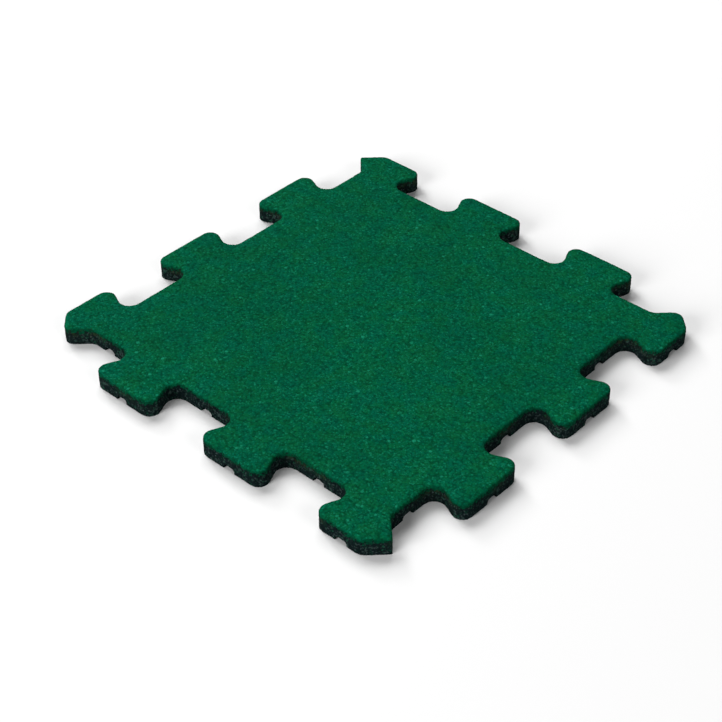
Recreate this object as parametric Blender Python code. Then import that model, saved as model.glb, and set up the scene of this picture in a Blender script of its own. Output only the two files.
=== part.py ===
"""Interlocking rubber tile with a coloured wear layer on a black granulate base.

Metres, +Z up. The tile lies flat, its underside on z = 0 and its centre over the origin.
Each side carries three dovetail tabs and three sockets. The row of tabs reads the same
from both ends, so tiles laid at TILE_PITCH lock into each other on all four sides.
Two opposite corners have sharp tips, and the tips of the other two are rounded off.
"""
import math

import bmesh
import bpy
from mathutils import Vector

# Laying size and outline; the corner tips run anticlockwise from the one at +X, -Y
TILE_PITCH = 0.500
TABS_PER_SIDE = 3
TAB_DEPTH = 0.048
DOVETAIL_LEAN = 0.0110
JOINT_PLAY = 0.0005
TAB_CORNER_RADIUS = 0.0130
CORNER_CUT_RADIUS = 0.0140
CORNER_TIP_RADII = (0.0030, 0.0120, 0.0030, 0.0120)
ARC_SEGMENTS = 8
SHALLOW_ARC_SEGMENTS = 4

# Thickness
BASE_THICKNESS = 0.0185
WEAR_THICKNESS = 0.0045
TOP_EDGE_RADIUS = 0.0018
TOP_EDGE_SEGMENTS = 3

# Drainage channels in the underside
CHANNEL_OFFSETS = (-0.200, -0.125, -0.042, 0.042, 0.125, 0.200)
CHANNEL_WIDTH = 0.0145
CHANNEL_DEPTH = 0.0062
CHANNEL_CORNER_RADIUS = 0.0035
CHANNEL_ARC_SEGMENTS = 6
CUTTER_MARGIN = 0.0200

# Surfaces, linear colour
WEAR_COLOUR = (0.0030, 0.0930, 0.0430)
WEAR_ROUGHNESS = 0.85
BASE_COLOUR = (0.0110, 0.0120, 0.0140)
BASE_ROUGHNESS = 0.90
SMOOTH_ANGLE = math.radians(30.0)


def clear_objects():
    """Start from an empty file."""
    for obj in list(bpy.data.objects):
        bpy.data.objects.remove(obj, do_unlink=True)


def rubber(name, colour, roughness):
    """A dull, non-metallic rubber surface."""
    material = bpy.data.materials.new(name)
    material.use_nodes = True
    shader = material.node_tree.nodes["Principled BSDF"]
    shader.inputs["Base Color"].default_value = (*colour, 1.0)
    shader.inputs["Roughness"].default_value = roughness
    shader.inputs["Metallic"].default_value = 0.0
    material.diffuse_color = (*colour, 1.0)
    return material


def side_corners(tip_radius):
    """Sharp corners along one side, as (distance along, distance outward, radius, segments)."""
    half = TAB_DEPTH / 2
    spacing = TILE_PITCH / TABS_PER_SIDE
    corners = [(half, -half, CORNER_CUT_RADIUS, SHALLOW_ARC_SEGMENTS)]
    for tab in range(TABS_PER_SIDE):
        rise = (tab + 0.5) * spacing
        fall = (tab + 1.0) * spacing
        corners.append((rise + DOVETAIL_LEAN, -half, TAB_CORNER_RADIUS, ARC_SEGMENTS))
        corners.append((rise - DOVETAIL_LEAN, half, TAB_CORNER_RADIUS, ARC_SEGMENTS))
        if tab < TABS_PER_SIDE - 1:
            corners.append((fall + DOVETAIL_LEAN, half, TAB_CORNER_RADIUS, ARC_SEGMENTS))
            corners.append((fall - DOVETAIL_LEAN, -half, TAB_CORNER_RADIUS, ARC_SEGMENTS))
    corners.append((TILE_PITCH - half, half, CORNER_CUT_RADIUS, SHALLOW_ARC_SEGMENTS))
    corners.append((TILE_PITCH, 0.0, tip_radius, ARC_SEGMENTS))
    return corners


def tile_corners():
    """The four sides joined into one loop, anticlockwise seen from above."""
    loop = []
    for turn, tip_radius in enumerate(CORNER_TIP_RADII):
        cos_turn = round(math.cos(turn * math.pi / 2))
        sin_turn = round(math.sin(turn * math.pi / 2))
        for along, outward, radius, segments in side_corners(tip_radius):
            x = along - TILE_PITCH / 2
            y = -TILE_PITCH / 2 - outward
            place = Vector((x * cos_turn - y * sin_turn, x * sin_turn + y * cos_turn))
            loop.append((place, radius, segments))
    return loop


def rounded_loop(corners):
    """Replace each sharp corner by an arc that touches both of its edges."""
    points = []
    count = len(corners)
    for index, (corner, radius, segments) in enumerate(corners):
        before = (corners[index - 1][0] - corner).normalized()
        after = (corners[(index + 1) % count][0] - corner).normalized()
        half_angle = before.angle(after) / 2
        reach = radius / math.tan(half_angle)
        centre = corner + (before + after).normalized() * radius / math.sin(half_angle)
        start = corner + before * reach - centre
        finish = corner + after * reach - centre
        sweep = math.atan2(start.x * finish.y - start.y * finish.x, start.dot(finish))
        for step in range(segments + 1):
            angle = sweep * step / segments
            turned = Vector((start.x * math.cos(angle) - start.y * math.sin(angle),
                             start.x * math.sin(angle) + start.y * math.cos(angle)))
            points.append(centre + turned)
    return points


def inset(points, distance):
    """Move every edge of an anticlockwise loop inward by the same distance."""
    count = len(points)
    moved = []
    for index, point in enumerate(points):
        arrive = (point - points[index - 1]).normalized()
        leave = (points[(index + 1) % count] - point).normalized()
        inward_a = Vector((-arrive.y, arrive.x))
        inward_b = Vector((-leave.y, leave.x))
        bisector = (inward_a + inward_b).normalized()
        moved.append(point + bisector * distance / bisector.dot(inward_a))
    return moved


def tile_outline():
    """The cut outline: the shared mid-line loop less the play that lets two tiles lock."""
    return inset(rounded_loop(tile_corners()), JOINT_PLAY)


def solid_from_rings(name, rings, material):
    """A closed solid from stacked loops of (points, height), capped top and bottom."""
    mesh = bpy.data.meshes.new(name)
    build = bmesh.new()
    levels = [[build.verts.new((p.x, p.y, z)) for p in points] for points, z in rings]
    count = len(levels[0])
    build.faces.new(list(reversed(levels[0])))
    build.faces.new(levels[-1])
    for lower, upper in zip(levels, levels[1:]):
        for index in range(count):
            following = (index + 1) % count
            build.faces.new((lower[index], lower[following], upper[following], upper[index]))
    build.to_mesh(mesh)
    build.free()
    obj = bpy.data.objects.new(name, mesh)
    bpy.context.scene.collection.objects.link(obj)
    if material:
        mesh.materials.append(material)
    return obj


def smooth(obj):
    """Smooth shading across the arcs, with the real edges kept sharp."""
    for face in obj.data.polygons:
        face.use_smooth = True
    obj.data.set_sharp_from_angle(angle=SMOOTH_ANGLE)


def channel_section():
    """Channel section with rounded upper corners, as (across, height), closed below the underside."""
    half = CHANNEL_WIDTH / 2
    section = [(-half, -CUTTER_MARGIN), (half, -CUTTER_MARGIN)]
    for side in (1, -1):
        for step in range(CHANNEL_ARC_SEGMENTS + 1):
            turn = step if side > 0 else CHANNEL_ARC_SEGMENTS - step
            angle = math.pi / 2 * turn / CHANNEL_ARC_SEGMENTS
            across = half - CHANNEL_CORNER_RADIUS * (1 - math.cos(angle))
            height = CHANNEL_DEPTH - CHANNEL_CORNER_RADIUS * (1 - math.sin(angle))
            section.append((side * across, height))
    return section


def channel_cutter(name, along_x):
    """All the channels that run one way, as one wire-drawn cutting body."""
    reach = TILE_PITCH / 2 + TAB_DEPTH / 2 + CUTTER_MARGIN
    section = channel_section()
    build = bmesh.new()
    for middle in CHANNEL_OFFSETS:
        ends = []
        for end in (-reach, reach):
            places = [(end, middle + a, h) if along_x else (middle + a, end, h) for a, h in section]
            ends.append([build.verts.new(place) for place in places])
        first, last = ends
        build.faces.new(first)
        build.faces.new(list(reversed(last)))
        for index in range(len(section)):
            following = (index + 1) % len(section)
            build.faces.new((first[following], first[index], last[index], last[following]))
    bmesh.ops.recalc_face_normals(build, faces=build.faces[:])
    mesh = bpy.data.meshes.new(name)
    build.to_mesh(mesh)
    build.free()
    cutter = bpy.data.objects.new(name, mesh)
    bpy.context.scene.collection.objects.link(cutter)
    cutter.hide_render = True
    cutter.display_type = "WIRE"
    return cutter


def cut(obj, cutter):
    """Take a cutting body out of a solid."""
    modifier = obj.modifiers.new(cutter.name, "BOOLEAN")
    modifier.operation = "DIFFERENCE"
    modifier.solver = "EXACT"
    modifier.object = cutter


def base_layer(outline):
    """The black base, full thickness at the walls, with crossing channels underneath."""
    material = rubber("black_granulate", BASE_COLOUR, BASE_ROUGHNESS)
    base = solid_from_rings("base_layer", [(outline, 0.0), (outline, BASE_THICKNESS)], material)
    smooth(base)
    cut(base, channel_cutter("channels_along_x", True))
    cut(base, channel_cutter("channels_along_y", False))
    return base


def wear_layer(outline):
    """The coloured layer on top, its upper edge worn round."""
    material = rubber("green_granulate", WEAR_COLOUR, WEAR_ROUGHNESS)
    top = BASE_THICKNESS + WEAR_THICKNESS
    rings = [(outline, BASE_THICKNESS)]
    for step in range(TOP_EDGE_SEGMENTS + 1):
        angle = math.pi / 2 * step / TOP_EDGE_SEGMENTS
        back = TOP_EDGE_RADIUS * (1 - math.cos(angle))
        height = top - TOP_EDGE_RADIUS * (1 - math.sin(angle))
        rings.append((inset(outline, back), height))
    wear = solid_from_rings("wear_layer", rings, material)
    smooth(wear)
    return wear


def build_tile():
    clear_objects()
    outline = tile_outline()
    base_layer(outline)
    wear_layer(outline)


build_tile()
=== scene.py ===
"""Dresses the interlocking rubber tile: crumb relief, granulate materials, floor, lights and camera."""

import math

import bpy
from bpy.props import FloatProperty, FloatVectorProperty, PointerProperty
from bpy.types import Operator, Panel, PropertyGroup
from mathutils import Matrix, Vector
from mathutils.kdtree import KDTree


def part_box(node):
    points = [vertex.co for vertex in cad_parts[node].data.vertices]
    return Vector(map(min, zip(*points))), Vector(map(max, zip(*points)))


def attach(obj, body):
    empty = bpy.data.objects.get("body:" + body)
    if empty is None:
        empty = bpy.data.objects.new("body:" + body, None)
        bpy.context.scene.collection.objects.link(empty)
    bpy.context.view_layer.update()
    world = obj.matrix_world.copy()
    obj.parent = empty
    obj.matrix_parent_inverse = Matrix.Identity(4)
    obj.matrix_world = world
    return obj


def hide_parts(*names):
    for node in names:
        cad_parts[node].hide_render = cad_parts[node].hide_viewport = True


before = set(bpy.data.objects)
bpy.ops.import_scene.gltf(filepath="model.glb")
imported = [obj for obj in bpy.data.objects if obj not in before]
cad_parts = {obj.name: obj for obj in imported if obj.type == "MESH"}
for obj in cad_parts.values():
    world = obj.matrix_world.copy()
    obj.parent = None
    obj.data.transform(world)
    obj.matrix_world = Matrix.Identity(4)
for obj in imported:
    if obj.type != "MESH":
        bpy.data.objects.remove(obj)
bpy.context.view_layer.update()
LAYER_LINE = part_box("base_layer")[1].z
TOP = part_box("wear_layer")[1].z

# Lengths that the modelling works with
SAME_POINT = 1e-6
SAME_HEIGHT = 1e-5
OUTLINE_STEP = 0.002

# Lengths of the colour pattern
CRUMB_CELL = 0.0030
FINE_CELL = 0.0016
HUE_PATCH = 0.024
SHADE_PATCH = 0.090
BROWN_PATCH = 0.050
FADE_DEPTH = 0.0090
FADE_WAVE_WIDTH = 0.045
FADE_WAVE_HEIGHT = 0.0030
# Depth below the top over which the painted shade on the walls deepens
PAINTED_WALL_SHADE_DEPTH = 0.005
WALL_END, FACE_START = 0.0004, 0.0026

# Softboxes: name, setting of the power, setting of the width, bearing and rise in degrees
SOFTBOXES = (
    ("key_light", "key_watts", "wide_size", 177.0, 50.0),
    ("front_light", "front_watts", "wide_size", 267.0, 22.0),
    ("side_light", "side_watts", "wide_size", -3.0, 28.0),
    ("back_light", "back_watts", "wide_size", 132.0, 50.0),
    ("low_light", "low_watts", "narrow_size", 162.0, 30.0),
)

bl_info = {
    "name": "Interlocking rubber tile",
    "version": (1, 0, 0),
    "blender": (4, 5, 0),
    "location": "View3D > Sidebar > Rubber tile",
    "description": "Dresses a two-layer rubber granulate tile and sets its stage",
    "category": "Object",
}


class TileReliefSettings(PropertyGroup):
    """Sizes of the crumbs and of the relief that they leave."""

    mesh_step: FloatProperty(
        name="Mesh step", description="Edge length of the fine skin that carries the crumbs",
        default=0.0020, min=0.0015, max=0.02, unit="LENGTH", precision=5)
    crumb_size: FloatProperty(
        name="Crumb size", description="Width of one rubber crumb",
        default=0.0034, min=0.001, max=0.01, unit="LENGTH", precision=5)
    crumb_relief: FloatProperty(
        name="Crumb relief", description="Depth of the gaps between the crumbs",
        default=0.0005, min=0.0, max=0.002, unit="LENGTH", precision=5)
    press_size: FloatProperty(
        name="Press wave size", description="Width of the soft unevenness left by pressing",
        default=0.018, min=0.005, max=0.2, unit="LENGTH", precision=4)
    press_relief: FloatProperty(
        name="Press wave relief", description="Depth of the soft unevenness left by pressing",
        default=0.0003, min=0.0, max=0.002, unit="LENGTH", precision=5)
    rim_width: FloatProperty(
        name="Rim width", description="How far in from the edge the top starts to fall",
        default=0.012, min=0.001, max=0.04, unit="LENGTH", precision=4)
    rim_drop: FloatProperty(
        name="Rim drop", description="How far the top has fallen at the edge",
        default=0.0013, min=0.0, max=0.003, unit="LENGTH", precision=5)


class TileColourSettings(PropertyGroup):
    """Colours of the two granulates."""

    green: FloatVectorProperty(
        name="Green crumb", description="Main colour of the wear layer",
        default=(0.0002, 0.1005, 0.0412), size=3, min=0.0, max=1.0, subtype="COLOR")
    leaf: FloatVectorProperty(
        name="Yellower green crumb", description="Colour of the crumbs that lean to yellow",
        default=(0.0040, 0.1035, 0.0305), size=3, min=0.0, max=1.0, subtype="COLOR")
    teal: FloatVectorProperty(
        name="Bluer green crumb", description="Colour of the crumbs that lean to blue",
        default=(0.0002, 0.0940, 0.0550), size=3, min=0.0, max=1.0, subtype="COLOR")
    pale: FloatVectorProperty(
        name="Pale green crumb", description="Colour of the few paler crumbs",
        default=(0.0090, 0.2200, 0.1200), size=3, min=0.0, max=1.0, subtype="COLOR")
    # Also the colour that the painted shade on the walls mixes toward; the gaps between crumbs get their
    # painted shade from a darkening multiply in granulate()
    dark: FloatVectorProperty(
        name="Dark green crumb", description="Colour of the darker crumbs and of the gaps",
        default=(0.0002, 0.0460, 0.0205), size=3, min=0.0, max=1.0, subtype="COLOR")
    black: FloatVectorProperty(
        name="Black crumb", description="Main colour of the base",
        default=(0.0040, 0.0092, 0.0098), size=3, min=0.0, max=1.0, subtype="COLOR")
    grey: FloatVectorProperty(
        name="Grey crumb", description="Colour of the few dusty crumbs in the base",
        default=(0.0450, 0.0660, 0.0640), size=3, min=0.0, max=1.0, subtype="COLOR")
    brown: FloatVectorProperty(
        name="Brown crumb", description="Colour where green binder has run over the black base",
        default=(0.0190, 0.0310, 0.0130), size=3, min=0.0, max=1.0, subtype="COLOR")


class TileStageSettings(PropertyGroup):
    """Floor, lights and camera."""

    floor_size: FloatProperty(
        name="Floor size", description="Side of the square floor",
        default=40.0, min=1.0, unit="LENGTH")
    floor_colour: FloatVectorProperty(
        name="Floor colour", description="Colour of the plain pale floor",
        default=(0.86, 0.86, 0.86), size=3, min=0.0, max=1.0, subtype="COLOR")
    light_distance: FloatProperty(
        name="Light distance", description="How far every light stands from the tile",
        default=8.0, min=0.5, unit="LENGTH")
    wide_size: FloatProperty(
        name="Wide softbox", description="Width of the wide round softboxes",
        default=4.29, min=0.1, unit="LENGTH")
    narrow_size: FloatProperty(
        name="Narrow softbox", description="Width of the narrow round softbox that firms up the shadow",
        default=1.97, min=0.1, unit="LENGTH")
    key_watts: FloatProperty(
        name="Key light", description="Power of the high light behind and to the left",
        default=335.0, min=0.0, unit="POWER")
    front_watts: FloatProperty(
        name="Front light", description="Power of the low light in front and to the left",
        default=540.0, min=0.0, unit="POWER")
    side_watts: FloatProperty(
        name="Side light", description="Power of the low light to the right",
        default=160.0, min=0.0, unit="POWER")
    back_watts: FloatProperty(
        name="Back light", description="Power of the high light behind",
        default=212.0, min=0.0, unit="POWER")
    low_watts: FloatProperty(
        name="Low light", description="Power of the low narrow light behind",
        default=176.0, min=0.0, unit="POWER")
    room_strength: FloatProperty(
        name="Room light", description="Strength of the even light from all round",
        default=0.03, min=0.0)
    camera_place: FloatVectorProperty(
        name="Camera place", description="Where the photograph was taken from",
        default=(1.01592, -1.13577, 1.17828), size=3, subtype="TRANSLATION", unit="LENGTH")
    camera_turn: FloatVectorProperty(
        name="Camera turn", description="How the camera is turned",
        default=tuple(math.radians(a) for a in (51.4206, 0.1616, 42.2605)), size=3, subtype="EULER")
    camera_lens: FloatProperty(
        name="Focal length", description="Focal length on a 36 mm sensor",
        default=83.712, min=1.0, unit="CAMERA")


def deselect_all():
    """Leave any edit mode and drop the selection."""
    if bpy.context.object and bpy.context.object.mode != "OBJECT":
        bpy.ops.object.mode_set(mode="OBJECT")
    bpy.ops.object.select_all(action="DESELECT")


def make_active(obj):
    """Select one object alone."""
    deselect_all()
    obj.hide_set(False)
    obj.select_set(True)
    bpy.context.view_layer.objects.active = obj


def copy_of(obj, name):
    """A free copy of an object, with its own mesh."""
    mesh = obj.data.copy()
    mesh.name = name
    copy = bpy.data.objects.new(name, mesh)
    bpy.context.scene.collection.objects.link(copy)
    return copy


def without_flat_faces(obj, height):
    """Merge the seams and take off the faces where two layers meet."""
    make_active(obj)
    bpy.ops.object.mode_set(mode="EDIT")
    bpy.ops.mesh.select_mode(type="FACE")
    bpy.ops.mesh.select_all(action="SELECT")
    bpy.ops.mesh.remove_doubles(threshold=SAME_POINT)
    bpy.ops.mesh.select_all(action="DESELECT")
    bpy.ops.object.mode_set(mode="OBJECT")
    for face in obj.data.polygons:
        face.select = abs(face.center.z - height) < SAME_HEIGHT and abs(face.normal.z) > 0.9
    bpy.ops.object.mode_set(mode="EDIT")
    bpy.ops.mesh.delete(type="FACE")
    bpy.ops.object.mode_set(mode="OBJECT")


def crumb_texture(name, size):
    """Cells of crumb width."""
    texture = bpy.data.textures.new(name, "VORONOI")
    texture.noise_scale = size
    texture.distance_metric = "DISTANCE"
    return texture


def press_texture(name, size):
    """Soft unevenness."""
    texture = bpy.data.textures.new(name, "CLOUDS")
    texture.noise_scale = size
    texture.noise_depth = 2
    return texture


def press_in(obj, texture, depth, level):
    """Sink the skin by up to the depth, following a texture."""
    modifier = obj.modifiers.new(texture.name, "DISPLACE")
    modifier.texture = texture
    modifier.texture_coords = "LOCAL"
    modifier.direction = "NORMAL"
    modifier.strength = depth
    modifier.mid_level = level
    bpy.ops.object.modifier_apply(modifier=modifier.name)


def outline_tree():
    """Evenly spaced points along the tile's outline, ready for nearest-point search."""
    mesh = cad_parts["base_layer"].data
    edges = []
    for face in mesh.polygons:
        for first, last in face.edge_keys if abs(face.normal.z) < 0.5 else ():
            start, end = mesh.vertices[first].co, mesh.vertices[last].co
            if abs(start.z - LAYER_LINE) < SAME_HEIGHT and abs(end.z - LAYER_LINE) < SAME_HEIGHT:
                edges.append((start.xy.to_3d(), end.xy.to_3d()))
    points = []
    for start, end in edges:
        count = max(1, math.ceil((end - start).length / OUTLINE_STEP))
        points.extend(start.lerp(end, number / count) for number in range(count))
    tree = KDTree(len(points))
    for index, point in enumerate(points):
        tree.insert(point, index)
    tree.balance()
    return tree


def let_rim_fall(obj, width, drop):
    """Let the top fall softly toward the edge, and keep each point's distance from it for the material."""
    tree = outline_tree()
    places = [vertex.co.copy() for vertex in obj.data.vertices]
    distances = [tree.find(place.xy.to_3d())[2] if place.z > LAYER_LINE / 2 else 0.0 for place in places]
    rim = obj.vertex_groups.new(name="rim")
    for index, (place, distance) in enumerate(zip(places, distances)):
        if place.z > LAYER_LINE / 2 and distance < width:
            share = min(1.0, 2 * place.z / LAYER_LINE - 1)
            rim.add([index], share * (1 - distance / width) ** 2, "REPLACE")
    modifier = obj.modifiers.new("rim", "DISPLACE")
    modifier.direction = "Z"
    modifier.vertex_group = "rim"
    modifier.strength = -drop
    modifier.mid_level = 0.0
    bpy.ops.object.modifier_apply(modifier=modifier.name)
    obj.vertex_groups.clear()
    inward = obj.data.attributes.new("edge_distance", "FLOAT", "POINT")
    inward.data.foreach_set("value", distances)


def granulate_body():
    """One closed fine-meshed body of the whole tile, with crumbs pressed into its skin."""
    relief = bpy.context.scene.tile_relief
    body = copy_of(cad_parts["base_layer"], "granulate_body")
    wear = copy_of(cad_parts["wear_layer"], "granulate_top")
    without_flat_faces(body, LAYER_LINE)
    without_flat_faces(wear, LAYER_LINE)
    make_active(body)
    wear.select_set(True)
    bpy.ops.object.join()
    bpy.ops.object.mode_set(mode="EDIT")
    bpy.ops.mesh.select_all(action="SELECT")
    bpy.ops.mesh.remove_doubles(threshold=SAME_POINT)
    bpy.ops.object.mode_set(mode="OBJECT")
    body.data.remesh_voxel_size = relief.mesh_step
    body.data.remesh_voxel_adaptivity = 0.0
    bpy.ops.object.voxel_remesh()
    let_rim_fall(body, relief.rim_width, relief.rim_drop)
    press_in(body, crumb_texture("crumbs", relief.crumb_size), -relief.crumb_relief, 0.0)
    press_in(body, press_texture("press_waves", relief.press_size), relief.press_relief, 1.0)
    return body


def cut_layer(name, upper):
    """The part of the granulate body on one side of the line between the layers, closed with a flat cut."""
    layer = granulate_body()
    layer.name = name
    layer.data.name = name
    bpy.ops.object.mode_set(mode="EDIT")
    bpy.ops.mesh.select_all(action="SELECT")
    bpy.ops.mesh.bisect(plane_co=(0.0, 0.0, LAYER_LINE), plane_no=(0.0, 0.0, 1.0), use_fill=True,
                        clear_inner=upper, clear_outer=not upper, threshold=1e-7)
    bpy.ops.object.mode_set(mode="OBJECT")
    return layer


class Nodes:
    """Short hand for wiring a material."""

    def __init__(self, name):
        self.material = bpy.data.materials.new(name)
        self.material.use_nodes = True
        self.tree = self.material.node_tree
        self.shader = self.tree.nodes["Principled BSDF"]
        self.place = self.add("ShaderNodeTexCoord").outputs["Object"]

    def add(self, kind, **settings):
        """A new node with these settings."""
        node = self.tree.nodes.new(kind)
        for key, value in settings.items():
            setattr(node, key, value)
        return node

    def link(self, source, target):
        self.tree.links.new(source, target)

    def put(self, socket, value):
        """Link a socket's value, or set a colour or a number."""
        if isinstance(value, bpy.types.NodeSocket):
            self.link(value, socket)
        elif socket.type == "RGBA":
            socket.default_value = (*value, 1.0)
        else:
            socket.default_value = value

    def height(self):
        """Height above the floor."""
        node = self.add("ShaderNodeSeparateXYZ")
        self.link(self.place, node.inputs[0])
        return node.outputs["Z"]

    def cells(self, size, seed=0.0):
        """Crumbs of about this width."""
        node = self.add("ShaderNodeTexVoronoi", voronoi_dimensions="4D", feature="F1")
        self.link(self.place, node.inputs["Vector"])
        node.inputs["W"].default_value = seed
        node.inputs["Scale"].default_value = 1.0 / size
        return node

    def noise(self, size, detail=2.0, seed=0.0):
        """Soft patches of about this width."""
        node = self.add("ShaderNodeTexNoise", noise_dimensions="4D")
        self.link(self.place, node.inputs["Vector"])
        node.inputs["W"].default_value = seed
        node.inputs["Scale"].default_value = 1.0 / size
        node.inputs["Detail"].default_value = detail
        return node.outputs["Fac"]

    def math(self, operation, a, b=0.0):
        """Arithmetic on two numbers."""
        node = self.add("ShaderNodeMath", operation=operation)
        self.put(node.inputs[0], a)
        self.put(node.inputs[1], b)
        return node.outputs[0]

    def range(self, value, low, high, to_low=0.0, to_high=1.0, steps="SMOOTHSTEP"):
        """Go from to_low to to_high while the value goes from low to high."""
        node = self.add("ShaderNodeMapRange", interpolation_type=steps)
        self.put(node.inputs["Value"], value)
        node.inputs["From Min"].default_value = low
        node.inputs["From Max"].default_value = high
        node.inputs["To Min"].default_value = to_low
        node.inputs["To Max"].default_value = to_high
        return node.outputs["Result"]

    def mix(self, factor, a, b, blend="MIX"):
        """Go from colour a to colour b by the factor."""
        node = self.add("ShaderNodeMix", data_type="RGBA", blend_type=blend)
        self.put(node.inputs[0], factor)
        self.put(node.inputs[6], a)
        self.put(node.inputs[7], b)
        return node.outputs[2]

    def grey(self, value):
        """A number as a grey colour."""
        node = self.add("ShaderNodeCombineColor")
        for socket in node.inputs:
            self.link(value, socket)
        return node.outputs[0]

    def random(self, cells):
        """Three random numbers for each crumb."""
        node = self.add("ShaderNodeSeparateColor")
        self.link(cells.outputs["Color"], node.inputs["Color"])
        return node.outputs["Red"], node.outputs["Green"], node.outputs["Blue"]


def green_granulate(n, colour, crumbs, fine, height, on_top):
    """Green crumbs that lean to yellow or to blue, with a few pale ones; on the walls a painted shade darkens
    the green more the farther it lies below the top.
    """
    pick, pick_pale, _ = n.random(crumbs)
    fine_pick, fine_hue, _ = n.random(fine)
    patch = n.noise(HUE_PATCH, 3.0, 1.0)
    broad = n.noise(SHADE_PATCH, 2.0, 7.0)
    green = n.mix(n.range(patch, 0.46, 0.64, 0.0, 0.70), tuple(colour.green), tuple(colour.teal))
    green = n.mix(n.range(patch, 0.34, 0.54, 0.50, 0.0), green, tuple(colour.leaf))
    green = n.mix(n.range(fine_hue, 0.0, 0.5, 0.5, 0.0), green, tuple(colour.leaf))
    green = n.mix(n.range(fine_hue, 0.6, 1.0, 0.0, 0.5), green, tuple(colour.teal))
    green = n.mix(n.range(pick, 0.0, 0.75, 0.42, 0.0), green, tuple(colour.dark))
    green = n.mix(n.range(fine_pick, 0.0, 0.35, 0.36, 0.0), green, tuple(colour.dark))
    green = n.mix(n.range(fine_pick, 0.78, 1.0, 0.0, 0.50), green, tuple(colour.pale))
    green = n.mix(n.range(pick_pale, 0.985, 1.0, 0.0, 0.8), green, tuple(colour.pale))
    green = n.mix(n.range(broad, 0.35, 0.7, 0.0, 0.22), green, tuple(colour.dark))
    # Painted shade: on the walls the green is mixed toward the dark colour, more the farther below the top
    on_wall = n.math("SUBTRACT", 1.0, on_top)
    darker = n.math("MULTIPLY", on_wall, n.range(height, TOP - PAINTED_WALL_SHADE_DEPTH, TOP, 0.95, 0.2))
    return n.mix(darker, green, tuple(colour.dark))


def black_granulate(n, colour, crumbs, fine, height):
    """Black crumbs with a few grey ones, and brown ones in patches near the wear layer."""
    _, pick_brown, pick_grey = n.random(crumbs)
    _, fine_grey, _ = n.random(fine)
    patch = n.noise(BROWN_PATCH, 2.0, 4.0)
    black = n.mix(n.range(fine_grey, 0.70, 1.0, 0.0, 0.75), tuple(colour.black), tuple(colour.grey))
    black = n.mix(n.range(pick_grey, 0.90, 1.0, 0.0, 0.7), black, tuple(colour.grey))
    brown = n.math("MULTIPLY", n.range(pick_brown, 0.3, 1.0, 0.1, 0.8), n.range(patch, 0.46, 0.62))
    brown = n.math("MULTIPLY", brown, n.range(height, 0.4 * LAYER_LINE, 0.9 * LAYER_LINE, 0.1, 1.0))
    return n.mix(brown, black, tuple(colour.brown))


def away_from_wall(n):
    """One on the walking face, nothing on the walls, from the distance that the mesh keeps."""
    inward = n.add("ShaderNodeAttribute", attribute_name="edge_distance")
    return n.range(inward.outputs["Fac"], WALL_END, FACE_START)


def share_of_green(n, height, crumbs, fine, on_top):
    """How green the skin is: down the walls green crumbs give way to black ones over several millimetres."""
    _, _, pick = n.random(crumbs)
    _, fine_pick, _ = n.random(fine)
    spread = n.math("SUBTRACT", 1.0, n.math("MULTIPLY", n.math("ADD", pick, fine_pick), 0.5))
    wave = n.math("SUBTRACT", n.noise(FADE_WAVE_WIDTH, 1.0, 6.0), 0.5)
    wavy_height = n.math("ADD", height, n.math("MULTIPLY", wave, FADE_WAVE_HEIGHT))
    climb = n.range(wavy_height, TOP - FADE_DEPTH, TOP, 0.14, 1.12, "LINEAR")
    on_wall = n.range(n.math("SUBTRACT", climb, spread), -0.2, 0.2)
    return n.math("MAXIMUM", on_wall, on_top)


def granulate(name):
    """Rubber granulate: green crumbs above the layer line, black ones below it, mixed where they meet."""
    colour = bpy.context.scene.tile_colour
    n = Nodes(name)
    crumbs = n.cells(CRUMB_CELL)
    fine = n.cells(FINE_CELL, 3.0)
    height = n.height()
    on_top = away_from_wall(n)
    shade = n.mix(share_of_green(n, height, crumbs, fine, on_top),
                  black_granulate(n, colour, crumbs, fine, height),
                  green_granulate(n, colour, crumbs, fine, height, on_top))
    # Painted shade in the gaps between crumbs: the colour is darkened toward each crumb's edge
    painted_gap_shade = n.range(crumbs.outputs["Distance"], 0.45, 0.9, 1.0, 0.6)
    n.link(n.mix(1.0, shade, n.grey(painted_gap_shade), "MULTIPLY"), n.shader.inputs["Base Color"])
    _, _, fine_rough = n.random(fine)
    n.link(n.range(fine_rough, 0.0, 1.0, 0.80, 0.96), n.shader.inputs["Roughness"])
    n.shader.inputs["Specular IOR Level"].default_value = 0.008

    dome = n.math("MULTIPLY", crumbs.outputs["Distance"], -1.0)
    grit = n.math("MULTIPLY", fine.outputs["Distance"], -0.5)
    bump = n.add("ShaderNodeBump")
    bump.inputs["Strength"].default_value = 0.5
    bump.inputs["Distance"].default_value = 0.0006
    n.link(n.math("ADD", dome, grit), bump.inputs["Height"])
    n.link(bump.outputs["Normal"], n.shader.inputs["Normal"])
    return n.material


def finish_piece(obj, material, node):
    """Give a layer its material, hang it on the root body and hide the CAD node that it replaces."""
    obj.data.materials.clear()
    obj.data.materials.append(material)
    make_active(obj)
    bpy.ops.object.shade_smooth_by_angle(angle=math.radians(60.0))
    obj.select_set(False)
    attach(obj, "root")
    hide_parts(node)


class RUBBERTILE_OT_wear_layer(Operator):
    """Build the green wear layer"""

    bl_idname = "rubber_tile.wear_layer"
    bl_label = "Green wear layer"

    def execute(self, context):
        layer = cut_layer("green_wear_layer", True)
        finish_piece(layer, granulate("green_granulate_skin"), "wear_layer")
        return {"FINISHED"}


class RUBBERTILE_OT_base_layer(Operator):
    """Build the black base layer"""

    bl_idname = "rubber_tile.base_layer"
    bl_label = "Black base layer"

    def execute(self, context):
        layer = cut_layer("black_base_layer", False)
        finish_piece(layer, granulate("black_granulate_skin"), "base_layer")
        return {"FINISHED"}


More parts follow.
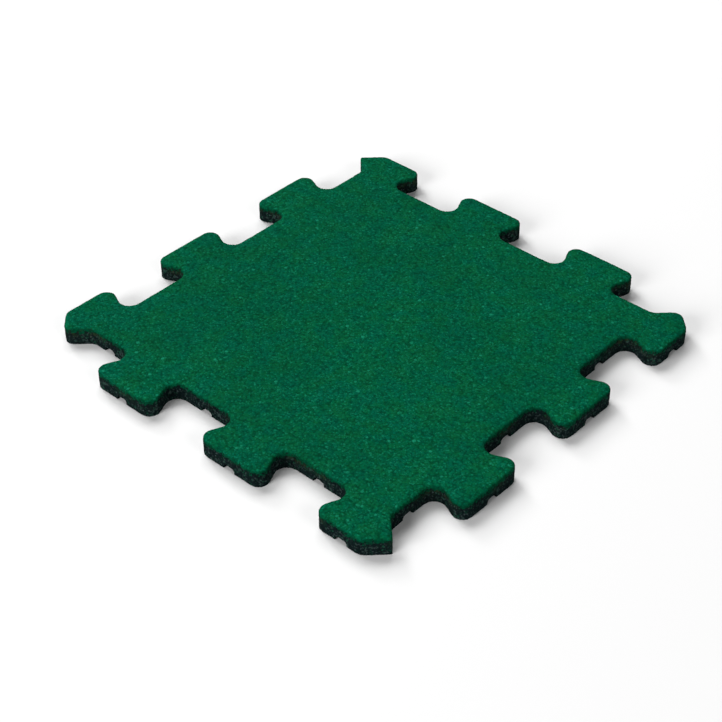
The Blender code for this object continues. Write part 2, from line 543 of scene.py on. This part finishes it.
def floor_material(colour):
    """A plain matt floor."""
    material = bpy.data.materials.new("pale_floor")
    material.use_nodes = True
    shader = material.node_tree.nodes["Principled BSDF"]
    shader.inputs["Base Color"].default_value = (*colour, 1.0)
    shader.inputs["Roughness"].default_value = 0.9
    shader.inputs["Specular IOR Level"].default_value = 0.0
    return material


def softbox(name, watts, size, bearing, rise):
    """A round softbox that faces the tile; bearing is from +X toward +Y, rise above the floor, in degrees."""
    stage = bpy.context.scene.tile_stage
    bearing, rise = math.radians(bearing), math.radians(rise)
    way = Vector((math.cos(rise) * math.cos(bearing), math.cos(rise) * math.sin(bearing), math.sin(rise)))
    deselect_all()
    bpy.ops.object.light_add(type="AREA", location=way * stage.light_distance,
                             rotation=way.to_track_quat("Z", "Y").to_euler())
    light = bpy.context.object
    light.name = name
    light.data.shape = "DISK"
    light.data.size = size
    light.data.energy = watts


class RUBBERTILE_OT_stage(Operator):
    """Set the floor, the lights and the camera"""

    bl_idname = "rubber_tile.stage"
    bl_label = "Stage"

    def execute(self, context):
        stage = context.scene.tile_stage
        deselect_all()
        bpy.ops.mesh.primitive_plane_add(size=stage.floor_size, location=(0.0, 0.0, 0.0))
        floor = bpy.context.object
        floor.name = "floor"
        floor.data.materials.append(floor_material(tuple(stage.floor_colour)))

        world = bpy.data.worlds.new("room")
        context.scene.world = world
        world.use_nodes = True
        world.node_tree.nodes["Background"].inputs["Color"].default_value = (1.0, 1.0, 1.0, 1.0)
        world.node_tree.nodes["Background"].inputs["Strength"].default_value = stage.room_strength

        for name, watts, size, bearing, rise in SOFTBOXES:
            softbox(name, getattr(stage, watts), getattr(stage, size), bearing, rise)

        deselect_all()
        bpy.ops.object.camera_add(location=tuple(stage.camera_place), rotation=tuple(stage.camera_turn))
        camera = bpy.context.object
        camera.name = "camera"
        camera.data.sensor_width = 36.0
        camera.data.lens = stage.camera_lens
        camera.data.clip_start = 0.01
        camera.data.clip_end = 100.0
        context.scene.camera = camera
        context.scene.view_settings.view_transform = "Standard"
        context.scene.view_settings.look = "None"
        deselect_all()
        return {"FINISHED"}


class RUBBERTILE_PT_panel(Panel):
    """Lists the steps that dress the tile"""

    bl_label = "Rubber tile"
    bl_idname = "RUBBERTILE_PT_panel"
    bl_space_type = "VIEW_3D"
    bl_region_type = "UI"
    bl_category = "Rubber tile"

    def draw(self, context):
        layout = self.layout
        for group in (context.scene.tile_relief, context.scene.tile_colour, context.scene.tile_stage):
            box = layout.box()
            for name in group.__annotations__:
                box.prop(group, name)
        for operator in OPERATORS:
            layout.operator(operator.bl_idname)


OPERATORS = (RUBBERTILE_OT_wear_layer, RUBBERTILE_OT_base_layer, RUBBERTILE_OT_stage)
CLASSES = (TileReliefSettings, TileColourSettings, TileStageSettings, *OPERATORS, RUBBERTILE_PT_panel)


def register():
    for cls in CLASSES:
        bpy.utils.register_class(cls)
    bpy.types.Scene.tile_relief = PointerProperty(type=TileReliefSettings)
    bpy.types.Scene.tile_colour = PointerProperty(type=TileColourSettings)
    bpy.types.Scene.tile_stage = PointerProperty(type=TileStageSettings)


def unregister():
    del bpy.types.Scene.tile_stage
    del bpy.types.Scene.tile_colour
    del bpy.types.Scene.tile_relief
    for cls in reversed(CLASSES):
        bpy.utils.unregister_class(cls)


def main():
    register()
    bpy.ops.rubber_tile.wear_layer()
    bpy.ops.rubber_tile.base_layer()
    bpy.ops.rubber_tile.stage()


if __name__ == "__main__":
    main()
